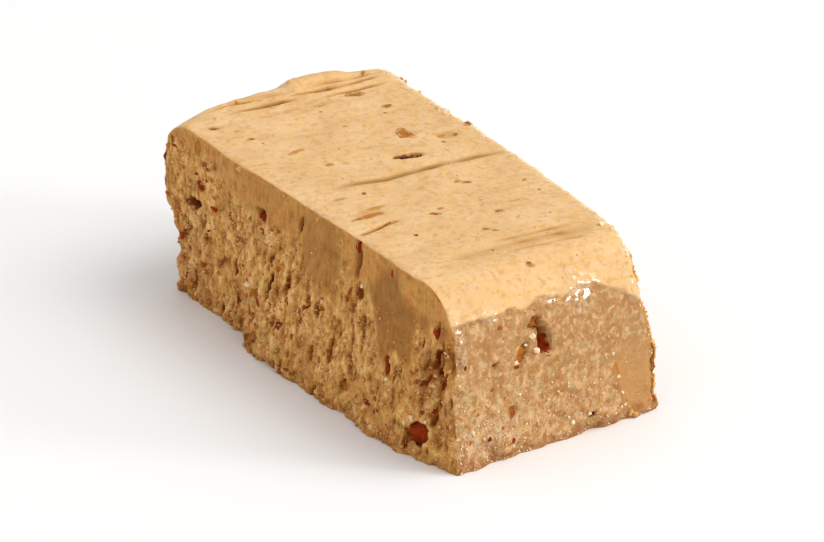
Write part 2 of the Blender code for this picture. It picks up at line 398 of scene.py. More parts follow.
def swell(points, size, seed):
    """Smooth noise from about -1 to 1: in each cell of the size, a blend of its corners' random slopes."""
    scaled = points / size
    cell = np.floor(scaled)
    inside = scaled - cell
    fade = inside**3 * (inside * (inside * 6.0 - 15.0) + 10.0)
    total = np.zeros(len(points))
    for corner in CUBE_CORNERS:
        slope = np.stack([hashed(cell + corner, seed * 3 + axis) for axis in range(3)], axis=1) * 2.0 - 1.0
        weight = np.prod(np.where(corner == 1, fade, 1.0 - fade), axis=1)
        total += weight * np.sum(slope * (inside - corner), axis=1)
    return total * 1.6


NEIGHBOURS = np.array([(i, j, k) for i in (-1, 0, 1) for j in (-1, 0, 1) for k in (-1, 0, 1)])


def clods(points, size, seed):
    """Distance to the nearest of the random centres, one to each cell, as a share of the size."""
    scaled = points / size
    cell = np.floor(scaled)
    nearest = np.full(len(points), 9.0)
    for step in NEIGHBOURS:
        here = cell + step
        centre = here + np.stack([hashed(here, seed * 3 + axis) for axis in range(3)], axis=1)
        nearest = np.minimum(nearest, np.sum((centre - scaled) ** 2, axis=1))
    return np.sqrt(nearest)


def oval(first, second, holes, waver):
    """How deep the holes are at places given by two coordinates: flat inside, with a steep wavering rim."""
    depth = np.zeros(len(first))
    for middle_first, middle_second, half_first, half_second, deepest, tilt in holes:
        turn = math.radians(tilt)
        right = (first - middle_first) * math.cos(turn) + (second - middle_second) * math.sin(turn)
        up = (second - middle_second) * math.cos(turn) - (first - middle_first) * math.sin(turn)
        away = np.hypot(right / half_first, up / half_second) + 0.45 * waver
        depth = np.maximum(depth, deepest * (1.0 - smooth_step(0.50, 1.12, away)))
    return depth


def crack(first, second, start, stop, half_width):
    """1 on the straight line between two places, fading to 0 at its half width and beyond its ends."""
    run = np.array(stop) - np.array(start)
    length = math.hypot(*run)
    along = ((first - start[0]) * run[0] + (second - start[1]) * run[1]) / length
    across = ((second - start[1]) * run[0] - (first - start[0]) * run[1]) / length
    within = smooth_step(-0.0004, 0.0006, along) * smooth_step(-0.0004, 0.0006, length - along)
    return within * np.exp(-((across / half_width) ** 2))


def facing_cuts(normals):
    """1 where the surface faces one of the knife's two cuts."""
    return smooth_step(0.55, 0.85, np.abs(normals[:, 1]))


def smeared_share(points):
    """Where the knife smeared a cut, in ragged ovals, turned half round on the back: (smooth, dark)."""
    x, y, z = points.T
    along = np.where(y < 0.0, x, -x)
    smooth, dark = np.zeros(len(points)), np.zeros(len(points))
    for middle_x, middle_z, half_x, half_z, darkness in SMEARS:
        away = np.hypot((along - middle_x) / half_x, (z - middle_z) / half_z)
        away = away + 0.40 * swell(points, 0.0030, 13) + 0.16 * swell(points, 0.0009, 14)
        smooth = np.maximum(smooth, 1.0 - smooth_step(0.55, 1.20, away))
        dark = np.maximum(dark, darkness * (1.0 - smooth_step(0.45, 1.20, away)))
    return smooth, dark


def torn_share(points, normals, smeared):
    """Where a cut is torn: below the smeared band, outside the smears, in patches."""
    along = np.where(points[:, 1] < 0.0, points[:, 0], -points[:, 0])
    reach = SMEARED_BANDS[0] + (SMEARED_BANDS[1] - SMEARED_BANDS[0]) * smooth_step(-0.023, -0.009, along)
    band = HEIGHT - reach * (0.75 + 0.5 * swell(points, 0.0060, 11))
    torn = 1.0 - smooth_step(band - 0.0032, band, points[:, 2])
    patch = smooth_step(-0.45, 0.25, swell(points, TORN_PATCH_SIZE, 12) + 0.5 * (points[:, 1] > 0.0))
    return facing_cuts(normals) * torn * (0.35 + 0.65 * patch) * (1.0 - 0.92 * smeared)


def broad_relief(points, normals):
    """Lumps everywhere, and crags that fade out a few millimetres above the foot."""
    lumps = LUMP_HEIGHT * swell(points, LUMP_SIZE, 1) * (1.0 - 0.55 * smooth_step(0.5, 0.9, normals[:, 2]))
    near_foot = 1.0 - smooth_step(*CRAG_HEIGHTS, points[:, 2])
    crags = swell(points, CRAG_SIZE, 2) + 0.45 * swell(points, 0.4 * CRAG_SIZE, 3)
    return lumps + CRAG_HEIGHT * near_foot * (1.0 - np.abs(normals[:, 2])) * crags


def top_marks(points, normals):
    """The spatula's grooves, each with a low burr, fine lines along Y, and holes: (relief, painted shade in
    the grooves, crack, holes and ragged places).
    """
    x, y = points[:, 0], points[:, 1]
    depth, mark_shade = np.zeros(len(points)), np.zeros(len(points))
    for place, low, high, half_width, deepest, darkness in TOP_GROOVES:
        within = smooth_step(low, low + GROOVE_FADE, y) * (1.0 - smooth_step(high - GROOVE_FADE, high, y))
        wander = x - place + 0.00030 * swell(points * [0.0, 1.0, 0.0], 0.0040, 21)
        groove = np.exp(-((wander / half_width) ** 2))
        burr = np.exp(-(((wander - 2.2 * half_width) / half_width) ** 2))
        varied = within * (0.75 + 0.6 * swell(points, 0.0022, 22))
        depth += deepest * varied * (groove - 0.45 * burr)
        mark_shade = np.maximum(mark_shade, darkness * varied * groove)
    lines = swell(points * [1.0, 0.06, 0.5], 0.00055, 23) + swell(points * [1.0, 0.09, 0.5], 0.0013, 24)
    ragged = smooth_step(*RAGGED_PLACES, x)
    depth += 0.00002 * lines * (0.6 + 3.2 * ragged)
    depth += 0.00020 * ragged * np.abs(swell(points * [1.0, 0.35, 0.5], 0.0015, 25))
    flap = np.exp(-(((x - FLAP[0]) / FLAP[1]) ** 2)) * (1.0 - smooth_step(FLAP[3] - 0.0030, FLAP[3], y))
    depth -= FLAP_HEIGHT * flap * smooth_step(FLAP[2] - 0.0004, FLAP[2] + 0.0002, y)
    cracked = crack(x, y, *TOP_CRACK, CRACK_HALF_WIDTH)
    holes = oval(x, y, TOP_HOLES, 0.5 * swell(points, 0.0008, 26))
    depth += 0.00032 * cracked + holes
    # Painted shade in the ragged far end's deeper places, in the crack and in the holes
    mark_shade = np.maximum(mark_shade, ragged * (depth - 0.00006) / 0.00036)
    mark_shade = np.maximum(mark_shade, np.maximum(0.85 * cracked, holes / 0.00020))
    depth += 0.00005 * swell(points, 0.0013, 27) + 0.00003 * swell(points, 0.0007, 28)
    on_top = smooth_step(0.6, 0.9, normals[:, 2])
    return -depth * on_top, np.clip(mark_shade, 0.0, 1.0) * on_top


def cut_marks(points, normals, torn):
    """Ridges, granules, pits, streaks and holes of the two cuts: (relief, painted shade in the pits and
    holes).

    The front cut also gets painted shade in the crevices beside the near upright corner, and low at the
    far end where the foot is undercut.
    """
    x, y, z = points.T
    front = y < 0.0
    on_cut = facing_cuts(normals)
    leaned = x - np.where(front, DRAG_LEAN, -DRAG_LEAN) * z
    dragged = np.stack([leaned, y, 0.55 * z], axis=1)
    rough = TEAR_HEIGHT * (0.45 - 1.5 * np.abs(swell(dragged, TEAR_SIZE, 31)))
    rough += 0.55 * TEAR_HEIGHT * (0.45 - 1.5 * np.abs(swell(dragged, 0.42 * TEAR_SIZE, 38)))
    rough += GRANULE_HEIGHT * (0.55 - clods(points, GRANULE_SIZE, 32))
    pits = PIT_DEPTH * smooth_step(0.40, 0.72, swell(dragged, PIT_SIZE, 33)) * torn
    streaks = STREAK_HEIGHT * swell(np.stack([leaned, y, 0.10 * z], axis=1), 0.00060, 34) * (0.4 + torn)
    waver = swell(points, 0.0009, 39)
    holes = np.where(front, oval(x, z, FRONT_HOLES, waver), oval(x, z, BACK_HOLES, waver))
    wander = FRONT_CRACK_X + 0.0005 * swell(points * [0.0, 0.0, 1.0], 0.0030, 36)
    cracked = np.exp(-(((x - wander) / CRACK_HALF_WIDTH) ** 2)) * smooth_step(0.0040, 0.0065, z)
    holes = holes + np.where(front, 0.00055 * cracked * (0.6 + 0.9 * swell(points, 0.0015, 37)), 0.0)
    relief = torn * rough + streaks - pits - holes
    # Painted shade: the crevices beside the near upright corner, and the far end's undercut foot
    by_corner = smooth_step(0.0228, 0.0258, x) * smooth_step(0.0010, 0.0075, z)
    by_corner = by_corner * (1.0 - smooth_step(0.0140, 0.0165, z))
    by_far_foot = smooth_step(-0.0190, -0.0230, x) * (1.0 - smooth_step(0.0060, 0.0110, z))
    shaded_band = by_corner + 0.50 * by_far_foot
    shaded_band = np.where(front, shaded_band * np.clip(0.55 + 0.9 * swell(dragged, 0.0016, 50), 0.0, 0.9), 0.0)
    # Painted shade in the pits and holes, and in the shaded band
    pit_shade = np.maximum((0.8 * pits + holes) / DARK_DEPTH, shaded_band)
    return on_cut * relief, on_cut * np.clip(pit_shade, 0.0, 1.0)


def ragged_rim(points):
    """The height of the shoulder's ragged lip, which varies across the slice."""
    beyond = np.maximum(0.0, (points[:, 1] - RIM_BEND[0]) / (THICKNESS / 2 - RIM_BEND[0]))
    ragged = 0.0006 * swell(points * [0.0, 1.0, 0.0], 0.0026, 41) + 0.0002 * swell(points, 0.0009, 49)
    return RIM_HEIGHT - RIM_BEND[1] * beyond**1.3 + ragged


def wiped_share(points):
    """Where the near end's foot was wiped flat, up to a crisp slanting edge: (share, the edge's seam)."""
    x, y, z = points.T
    edge = y + SMEAR_LEAN * z + 0.0004 * swell(points, 0.0014, 46) - SMEAR_EDGE_Y
    height = z + 0.0006 * swell(points, 0.0020, 47)
    within = (1.0 - smooth_step(SMEAR_TOP - 0.0050, SMEAR_TOP, height)) * smooth_step(0.0004, 0.0010, z)
    within = within * (x > 0.0)
    return within * smooth_step(-0.00015, 0.00015, edge), within * np.exp(-((edge / 0.0004) ** 2))


def end_marks(points, normals):
    """The ends: a lip where the shoulder stops, grain that coarsens downwards, holes: (relief, painted
    shade in the holes, and a darker line along the wiped patch's edge).
    """
    x, y, z = points.T
    on_end = smooth_step(0.30, 0.70, np.abs(normals[:, 0]))
    near = x > 0.0
    above = z - ragged_rim(points)
    raised = smooth_step(-0.00022, 0.00010, above) * (1.0 - smooth_step(0.0, LIP_RUN, above))
    lip = LIP_HEIGHT * raised * (0.75 + 0.7 * swell(points, 0.0016, 42)) * np.where(near, 1.0, 0.5)
    low = 1.0 - smooth_step(0.0050, 0.0105, z + 0.0018 * swell(points, 0.0050, 43))
    below = 1.0 - smooth_step(-0.0006, 0.0, above)
    low = np.maximum(low, 1.0 - smooth_step(-0.0128, -0.0108, y))
    grain = GRAIN_HEIGHT * (0.5 - clods(points, 0.0009, 44)) * (0.35 + 1.2 * low) * below
    grain += 0.00012 * swell(points, 0.0016, 45) * (0.4 + low) * below
    wiped, seam = wiped_share(points)
    waver = swell(points, 0.0010, 48)
    holes = np.where(near, oval(y, z, NEAR_HOLES, waver), oval(y, z, FAR_HOLES, waver))
    relief = lip + grain * (1.0 - 0.9 * wiped) - SMEAR_DEPTH * wiped + 0.00012 * seam - holes
    # Painted shade in the holes, and a darker line along the wiped patch's edge
    return on_end * relief, on_end * np.clip(holes / DARK_DEPTH + 0.45 * seam, 0.0, 1.0)


def corner_chips(points):
    """Moves that chip the edges: (those of the upright corners and the top's edges, upright corners, rims).

    At an upright corner one noise moves the points in from the cut and another in from the end, so
    that the edge wanders; along the top's edges a noise takes nicks out downwards.
    """
    from_cut = THICKNESS / 2 - np.abs(block_points[:, 1])
    from_end = LENGTH / 2 - np.abs(block_points[:, 0])
    from_top = HEIGHT - block_points[:, 2]
    upright = np.exp(-((from_cut / 0.0009) ** 2) - (from_end / 0.0009) ** 2)
    upright = upright * smooth_step(0.0015, 0.0040, from_top)
    rim = np.exp(-((from_cut / 0.0005) ** 2) - (from_top / 0.0005) ** 2)
    from_cut_chips = 0.4 + 0.9 * swell(points, 0.0022, 51) + 0.6 * swell(points, 0.0009, 52)
    from_end_chips = 0.4 + 0.9 * swell(points, 0.0019, 54) + 0.6 * swell(points, 0.0008, 55)
    nicks = smooth_step(0.10, 0.60, swell(points, 0.0012, 53))
    move = np.stack([
        -0.00040 * np.sign(block_points[:, 0]) * upright * from_end_chips,
        -0.00040 * np.sign(block_points[:, 1]) * upright * from_cut_chips,
        np.where(block_points[:, 1] < 0.0, -0.00008, -0.00022) * rim * nicks,
    ], axis=1)
    return move, upright, rim


def pressed(points, normals, amount):
    """The points moved along their normals, with the foot kept on the ground."""
    move = normals * amount[:, None]
    move[block_points[:, 2] < 1e-9, 2] = 0.0
    return points + move


paste_points = slice_form(soften_cut_edges(block_points))
paste_normals = point_normals(paste_points)
paste_points = pressed(paste_points, paste_normals, broad_relief(paste_points, paste_normals))
form_normals = point_normals(paste_points)
smeared, darkened = smeared_share(paste_points)
torn = torn_share(paste_points, form_normals, smeared)
cut_relief, cut_painted_shade = cut_marks(paste_points, form_normals, torn)
end_relief, end_painted_shade = end_marks(paste_points, form_normals)
top_relief, top_painted_shade = top_marks(paste_points, form_normals)
chips, corners, rims = corner_chips(paste_points)
marks = cut_relief + end_relief + top_relief
# How much painted shade each point gets, for the pits, holes, grooves, crack and crevices
hollow = np.maximum(np.maximum(cut_painted_shade, end_painted_shade), top_painted_shade)
# Painted contact shade along the line where the paste meets the ground
from_ground = paste_points[:, 2] + 0.0008 * swell(paste_points, 0.0012, 56)
hollow = np.maximum(hollow, 0.55 * (1.0 - smooth_step(0.0004, 0.0016, from_ground)))

# What the finish reads at each point, beside the painted shade: oil, the shoulder's smooth skin, the wiped
# foot
on_near_end = smooth_step(0.3, 0.6, form_normals[:, 0])
oily = np.zeros(len(paste_points))
for middle_y, middle_z, half_y, half_z in OILY:
    away_y, away_z = (paste_points[:, 1] - middle_y) / half_y, (paste_points[:, 2] - middle_z) / half_z
    oily = np.maximum(oily, on_near_end * np.exp(-(away_y**2) - away_z**2))
skinned = smooth_step(-0.00010, 0.00012, paste_points[:, 2] - ragged_rim(paste_points))
skinned = np.maximum(skinned, smooth_step(0.80, 0.90, form_normals[:, 2]))
wiped = wiped_share(paste_points)[0] * on_near_end
paste_points = pressed(paste_points, form_normals, marks) + chips
paste_normals = point_normals(paste_points)
paste_points = paste_points - BOX_MIDDLE

# The foot is flat: a strip from the ring of points at its edge to a ring just inside, and one face
foot_ring = np.concatenate([
    side_index["front"][:-1, 0],
    side_index["near"][:-1, 0],
    side_index["back"][:0:-1, 0],
    side_index["far"][:0:-1, 0],
])
count, ring_size = len(paste_points), len(foot_ring)
inner_ring = np.arange(count, count + ring_size)
foot_strip = np.stack([np.roll(foot_ring, -1), foot_ring, inner_ring, np.roll(inner_ring, -1)], axis=1)
foot_points = paste_points[foot_ring] * [0.94, 0.94, 0.0]


def new_piece(name, points, faces, attributes, smooth=True):
    """An object at the origin, with a number stored at each point for each attribute."""
    mesh = bpy.data.meshes.new(name)
    mesh.from_pydata(points.tolist(), [], faces)
    for attribute, values in attributes.items():
        layer = mesh.attributes.new(attribute, "FLOAT", "POINT")
        layer.data.foreach_set("value", np.ascontiguousarray(values, dtype=np.float32))
    if smooth:
        mesh.shade_smooth()
    mesh.update()
    piece = bpy.data.objects.new(name, mesh)
    bpy.context.scene.collection.objects.link(piece)
    return piece


paste_values = {
    "torn": torn,
    "darkened": darkened,
    "hollow": hollow,
    "height": np.clip(marks / MARK_RANGE, -1.0, 1.0),
    "cut": smooth_step(0.50, 0.80, np.abs(form_normals[:, 1])),
    "skinned": skinned,
    "oily": oily,
    "wiped": wiped,
    # Where the painted highlight along the back top edge goes
    "rim": rims * (block_points[:, 1] > 0.0),
}
paste = new_piece(
    "nougat_paste",
    np.concatenate([paste_points, foot_points]),
    paste_quads.tolist() + foot_strip.tolist() + [inner_ring[::-1].tolist()],
    {name: np.concatenate([values, np.zeros(ring_size)]) for name, values in paste_values.items()},
)
paste.data.set_sharp_from_angle(angle=math.radians(62))


# The paste's finish.
# Cream-tan and satin where the spatula and the mould pressed it, browner and drier where the
# knife tore it, with fine nut grain all through it. Painted shade darkens the pits, holes, grooves,
# crevices and the line along the ground, and painted light brightens the torn ridges.
class Shade:
    """A number or colour that varies over a surface: one socket, on which arithmetic adds Math nodes."""

    def __init__(self, tree, socket):
        self.tree = tree
        self.socket = socket

    def node(self, kind, settings, sockets, output=0):
        """A new node: its settings are made first, and then its sockets' values or links."""
        node = self.tree.nodes.new(kind)
        for setting, value in settings.items():
            if setting == "stops":
                for _ in value[2:]:
                    node.color_ramp.elements.new(0.5)
                for element, (position, colour) in zip(node.color_ramp.elements, value):
                    element.position = position
                    element.color = (*colour, 1.0)
            else:
                setattr(node, setting, value)
        for key, value in sockets.items():
            if isinstance(value, Shade):
                self.tree.links.new(value.socket, node.inputs[key])
            else:
                node.inputs[key].default_value = value
        return Shade(self.tree, node.outputs[output])

    def math(self, operation, first, second):
        return self.node("ShaderNodeMath", {"operation": operation}, {0: first, 1: second})

    def __add__(self, other):
        return self.math("ADD", self, other)

    __radd__ = __add__

    def __sub__(self, other):
        return self.math("SUBTRACT", self, other)

    def __rsub__(self, other):
        return self.math("SUBTRACT", other, self)

    def __mul__(self, other):
        return self.math("MULTIPLY", self, other)

    __rmul__ = __mul__

    def over(self, low, high):
        """0 below low and 1 above high, with a smooth rise between them."""
        settings = {"interpolation_type": "SMOOTHSTEP"}
        return self.node("ShaderNodeMapRange", settings, {"Value": self, "From Min": low, "From Max": high})

    def mix(self, first, second):
        """The first colour where this is 0, and the second where it is 1."""
        first, second = ((*c, 1.0) if isinstance(c, tuple) else c for c in (first, second))
        sockets = {0: self, 6: first, 7: second}
        return self.node("ShaderNodeMix", {"data_type": "RGBA"}, sockets, output=2)

    def times(self, colour):
        """The colour, multiplied by this colour."""
        sockets = {0: 1.0, 6: self, 7: colour}
        settings = {"data_type": "RGBA", "blend_type": "MULTIPLY"}
        return self.node("ShaderNodeMix", settings, sockets, output=2)

    def ramp(self, *stops):
        return self.node("ShaderNodeValToRGB", {"stops": stops}, {"Fac": self})

    def stretched(self, *scale):
        """This place, multiplied along each axis."""
        return self.node("ShaderNodeVectorMath", {"operation": "MULTIPLY"}, {0: self, 1: scale})

    def noise(self, size, detail=2.0, rough=0.5):
        """Noise from 0 to 1 at this place, with features of the size."""
        sockets = {"Vector": self, "Scale": 1.0 / size, "Detail": detail, "Roughness": rough}
        return self.node("ShaderNodeTexNoise", {}, sockets)

    def cells(self, size):
        """Distance to the nearest random centre, in cells of the size."""
        return self.node("ShaderNodeTexVoronoi", {}, {"Vector": self, "Scale": 1.0 / size})


def new_finish(name, constants):
    """A material whose shader has the same values all over, its surface place, and its shader."""
    material = bpy.data.materials.new(name)
    material.use_nodes = True
    tree = material.node_tree
    shader = tree.nodes["Principled BSDF"]
    for socket, value in constants.items():
        shader.inputs[socket].default_value = value
    start = Shade(tree, shader.outputs[0])
    place = start.node("ShaderNodeTexCoord", {}, {}, output="Object")
    return material, place, shader


def stored(place, attribute):
    """The number that the mesh stores under a name."""
    return place.node("ShaderNodeAttribute", {"attribute_name": attribute}, {}, output="Fac")


def feed(shader, **sockets):
    """Links shades to the shader's sockets; an underscore in a name stands for a space."""
    for name, shade in sockets.items():
        shade.tree.links.new(shade.socket, shader.inputs[name.replace("_", " ")])


def bumped(place, height, depth, strength=1.0):
    """A normal from a height from 0 to 1, which stands for the depth in metres."""
    sockets = {"Strength": strength, "Distance": depth, "Height": height}
    return place.node("ShaderNodeBump", {}, sockets, output="Normal")


def layered(colour, *layers):
    """The colour, with each layer's own colour laid over it in turn where its mask is 1."""
    for mask, layer in layers:
        colour = mask.mix(colour, layer)
    return colour


def tinted(colour, share, first, second):
    """The colour multiplied by the first tint where the share is 0, and by the second where it is 1."""
    return share.mix(colour.times(first), colour.times(second))


TOP_PASTE = (0.720, 0.440, 0.200)
TOP_PALE = (0.780, 0.510, 0.255)
# Tan for specks and lines, and also the lightest painted shade in the top's marks
TOP_TAN = (0.550, 0.295, 0.100)
# Painted shade in the top's grooves, crack, holes and dents: middling, then deepest
TOP_MARK_SHADE = (0.330, 0.160, 0.036)
TOP_DEEP_SHADE = (0.110, 0.030, 0.008)
CUT_PASTE = (0.640, 0.306, 0.074)
CUT_BAND = (0.545, 0.245, 0.052)
# Painted shade for the low places, holes and crevices of the cuts and ends
CUT_SHADE = (0.220, 0.052, 0.005)
# Painted light on the torn ridges, partly their pale dry crumbs
CUT_PALE = (0.900, 0.545, 0.210)
CUT_YELLOW = (0.650, 0.355, 0.090)
CUT_SMEAR = (0.310, 0.120, 0.018)
END_PASTE = (0.405, 0.212, 0.076)
END_PALE = (0.585, 0.370, 0.180)
# Painted highlight along the back top edge
RIM_HIGHLIGHT = (0.880, 0.700, 0.430)
PINKISH, GREENISH = (1.045, 0.96, 0.94, 1.0), (0.96, 1.03, 1.03, 1.0)
YELLOWED, BLEACHED = (1.00, 0.985, 0.82, 1.0), (1.00, 1.015, 1.14, 1.0)
END_TAN = (0.380, 0.150, 0.040)
END_WIPED = (0.480, 0.245, 0.085)

# Light passes a little way into the paste and its crumbs
SOFT_INSIDE = {
    "Subsurface Weight": 0.15,
    "Subsurface Radius": (1.0, 0.50, 0.22),
    "Subsurface Scale": 0.0008,
    "Coat Roughness": 0.10,
}
paste_constants = {"IOR": 1.45, "Specular IOR Level": 0.10, "Coat IOR": 1.8, **SOFT_INSIDE}
paste_finish, place, shader = new_finish("nougat_paste", paste_constants)
torn_here = stored(place, "torn")
hollow_shade_here = stored(place, "hollow")
height_here = stored(place, "height")
on_cut = stored(place, "cut")
oily_here = stored(place, "oily")
blotch = place.noise(0.0045, 3.0)
mottle = place.noise(0.0011, 3.0, 0.6)
grit = place.noise(0.00035, 3.0, 0.65)
specks = place.noise(0.00075, 2.0, 0.5)
lined = place.stretched(1.0, 0.10, 1.0).noise(0.0006, 2.0)
dragged = place.stretched(1.0, 1.0, 0.16).noise(0.00045, 3.0, 0.6)
granules = place.cells(0.00050)
upright_streaks = place.stretched(1.0, 1.0, 0.3).noise(0.0008, 2.0)
tint = place.noise(0.0010, 3.0, 0.6)
low = 1.0 - place.node("ShaderNodeSeparateXYZ", {}, {"Vector": place}, output="Z").over(0.0020, 0.0120)
# How high the paste stands here, from 0 to 1, with noise finer than the mesh added: the cuts get painted
# shade where it is low and painted light where it is high
rise = height_here * 0.5 + 0.5 + 0.8 * (grit - 0.5) + 1.4 * (mottle - 0.5) + 0.9 * (dragged - 0.5)

top_colour = layered(
    blotch.over(0.30, 0.75).mix(TOP_PASTE, TOP_PALE),
    (mottle.over(0.48, 0.70) * 0.42, TOP_TAN),
    (lined.over(0.50, 0.80) * 0.30, TOP_TAN),
    (specks.over(0.53, 0.74) * 0.65, TOP_TAN),
    (grit.over(0.56, 0.70) * 0.60, TOP_PALE),
)
top_colour = layered(
    tinted(top_colour, tint.over(0.30, 0.70), YELLOWED, BLEACHED),
    # Painted shade in the grooves, crack, holes and dents, and along the ground
    (hollow_shade_here.over(0.05, 0.55) * 0.95, TOP_TAN),
    (hollow_shade_here.over(0.35, 0.80) * 0.90, TOP_MARK_SHADE),
    (hollow_shade_here.over(0.80, 1.00) * 0.90, TOP_DEEP_SHADE),
)
torn_colour = layered(
    specks.over(0.45, 0.62).mix(CUT_PASTE, CUT_YELLOW),
    # Painted light on the high places and painted shade in the low ones
    (rise.over(0.50, 0.95), CUT_PALE),
    ((1.0 - rise.over(0.08, 0.56)) * 0.95, CUT_SHADE),
    (place.noise(0.0024, 3.0, 0.6).over(0.42, 0.68) * 0.45, CUT_SMEAR),
)
smooth_colour = layered(
    (rise.over(0.30, 0.80) * 0.8).mix(CUT_BAND, CUT_PASTE),
    # Painted shade in the low places
    ((1.0 - rise.over(0.10, 0.50)) * 0.35, CUT_SHADE),
    (stored(place, "darkened"), CUT_SMEAR),
)
cut_colour = (torn_here.over(0.0, 0.40) * 0.85 + 0.15).mix(smooth_colour, torn_colour)
cut_colour = tinted(cut_colour, tint.over(0.32, 0.68), PINKISH, GREENISH)
# Painted shade in the pits, holes, crevices and along the ground
cut_colour = (hollow_shade_here * 0.80).mix(cut_colour, CUT_SHADE)
end_colour = layered(
    (mottle + 0.10 * low).over(0.38, 0.72).mix(END_PASTE, END_PALE),
    ((1.0 - specks.over(0.34, 0.46)) * (0.25 + 0.45 * low), END_TAN),
    ((1.0 - grit.over(0.32, 0.50)) * 0.75, END_TAN),
    (specks.over(0.56, 0.66) * 0.70, TOP_PASTE),
    (upright_streaks.over(0.55, 0.75) * 0.40, END_TAN),
)
end_colour = layered(
    tinted(end_colour, tint.over(0.32, 0.68), PINKISH, GREENISH),
    (stored(place, "wiped") * 0.9, END_WIPED),
    # Painted shade in the holes, along the wiped edge and along the ground
    (hollow_shade_here * 0.85, CUT_SHADE),
)
colour = on_cut.mix(stored(place, "skinned").mix(end_colour, top_colour), cut_colour)
# A painted highlight along the back top edge, broken up by the grit
colour = (stored(place, "rim") * grit.over(0.35, 0.50)).mix(colour, RIM_HIGHLIGHT)
# The oil lies in drops, under a thin clear coat
drops = place.noise(0.00070, 2.0)
shine = oily_here.over(0.10, 0.45) * drops.over(0.47, 0.53)
on_end = (1.0 - on_cut) * (1.0 - stored(place, "skinned"))
relief = grit * 0.55 + mottle * 0.30 + (1.0 - granules) * (0.15 + 0.35 * torn_here + 0.45 * on_end)
relief = relief + dragged * 0.5 * on_cut + drops * 1.7 * oily_here
feed(
    shader,
    Base_Color=colour,
    Roughness=0.52 + 0.15 * torn_here + 0.16 * (mottle - 0.5) - 0.30 * shine,
    Coat_Weight=shine,
    Normal=bumped(place, relief, 0.00016, 0.9),
)
paste.data.materials.append(paste_finish)
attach(paste, "root")
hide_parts("slice")


# Almond skins.
# Flakes of thin brown skin from the ground almonds, under a millimetre to four across. They lie
# flush in the paste where the spatula or the knife passed over them, and a film of paste hides
# parts of them.
SKIN_THICKNESS = 0.00007
FLAKE_RINGS = 5
FLAKE_AROUND = 14
# Tones run from 0, the darkest brown, through red, brown, orange and tan to 1, an olive brown.
# The darkest flakes, in holes and slits, are partly dark skin and partly painted shade.
DARK, RED, BROWN, ORANGE, TAN, OLIVE = 0.04, 0.26, 0.45, 0.66, 0.80, 0.93
# Flakes that show: (place along, place across, half length, half width, tilt in degrees, tone)
TOP_SKINS = in_metres(4, (
    (-11.8, 5.8, 1.6, 1.2, 0, 0.56),
    (-19.5, 8.0, 0.8, 0.5, 80, OLIVE),
    (-23.9, 6.7, 1.1, 0.4, 82, OLIVE),
    (-6.1, 2.9, 1.7, 0.75, 82, 0.10),
    (-9.3, 8.8, 0.7, 0.5, 80, TAN),
    (-8.8, 10.2, 0.6, 0.4, 100, OLIVE),
    (-10.8, 13.1, 1.3, 0.6, 120, BROWN),
    (2.5, 3.8, 0.6, 0.4, 80, TAN),
    (8.9, -2.8, 0.5, 0.4, 40, BROWN),
    (8.0, -1.6, 0.6, 0.4, 95, TAN),
    (-8.5, -5.2, 0.6, 0.5, 90, TAN),
    (-13.1, -6.5, 1.2, 0.5, 95, TAN),
    (6.1, -8.9, 0.8, 2.1, -4, 0.62),
    (4.4, -7.2, 0.5, 1.4, -4, TAN),
    (-27.4, -5.1, 0.5, 0.4, 0, ORANGE),
    (9.0, -9.3, 0.2, 2.0, 13, BROWN),
    (12.9, -7.4, 0.3, 0.3, 0, RED),
    (2.9, 4.5, 0.42, 0.34, 60, OLIVE),
    (11.6, 3.3, 0.4, 0.34, 40, OLIVE),
    (15.1, -0.4, 0.38, 0.34, 60, OLIVE),
    (24.6, -1.0, 0.42, 0.36, 60, OLIVE),
    (-18.8, -8.6, 0.4, 0.36, 60, OLIVE),
    (-23.2, 2.0, 0.44, 0.32, 80, OLIVE),
))
# In the holes and slits the DARK flakes are partly dark skin and partly painted shade
FRONT_SKINS = in_metres(4, (
    (-22.0, 17.7, 0.7, 0.9, 20, 0.56),
    (-21.6, 13.7, 0.6, 0.5, 0, RED),
    (-8.4, 15.0, 0.9, 0.5, -12, RED),
    (-0.6, 16.5, 0.3, 0.9, -18, DARK),
    (10.9, 18.1, 0.6, 1.0, 4, 0.20),
    (11.4, 17.0, 0.3, 0.9, 8, DARK),
    (11.8, 14.0, 0.8, 0.7, 0, ORANGE),
    (18.1, 17.8, 0.3, 0.5, 0, RED),
    (19.7, 18.2, 0.3, 0.3, 0, ORANGE),
    (-2.5, 9.7, 0.5, 1.3, -12, RED),
    (-5.7, 8.4, 0.4, 1.6, -18, DARK),
    (-8.4, 6.6, 1.0, 0.6, 10, 0.56),
    (-7.7, 5.9, 0.5, 0.6, 10, RED),
    (-15.2, 6.8, 0.4, 1.1, -12, RED),
    (4.8, 9.4, 0.5, 0.3, 0, BROWN),
    (18.1, 8.2, 0.5, 1.2, 10, RED),
    (18.7, 7.1, 0.5, 0.6, 0, ORANGE),
    (24.3, 2.7, 1.4, 1.3, 0, RED),
    (10.2, 3.0, 0.7, 0.6, 0, ORANGE),
    (7.1, 5.6, 0.3, 1.1, -8, RED),
    (28.3, 9.6, 0.4, 1.4, -30, RED),
    (26.9, 11.9, 0.4, 1.4, -30, DARK),
    (27.0, 14.6, 0.4, 0.9, -10, RED),
    (27.7, 10.8, 0.3, 1.2, -30, DARK),
    (27.8, 9.8, 0.2, 1.0, -12, RED),
    (27.5, 7.7, 0.2, 1.1, -25, DARK),
    (25.4, 8.8, 0.2, 0.9, -40, RED),
    (28.0, 12.7, 0.2, 0.9, -8, RED),
    (-23.5, 11.0, 1.1, 0.5, 20, DARK),
    (-27.6, 6.6, 0.6, 0.5, 0, RED),
    (-28.8, 14.2, 0.4, 0.6, 0, DARK),
    (-26.2, 1.2, 0.9, 0.4, 10, ORANGE),
))
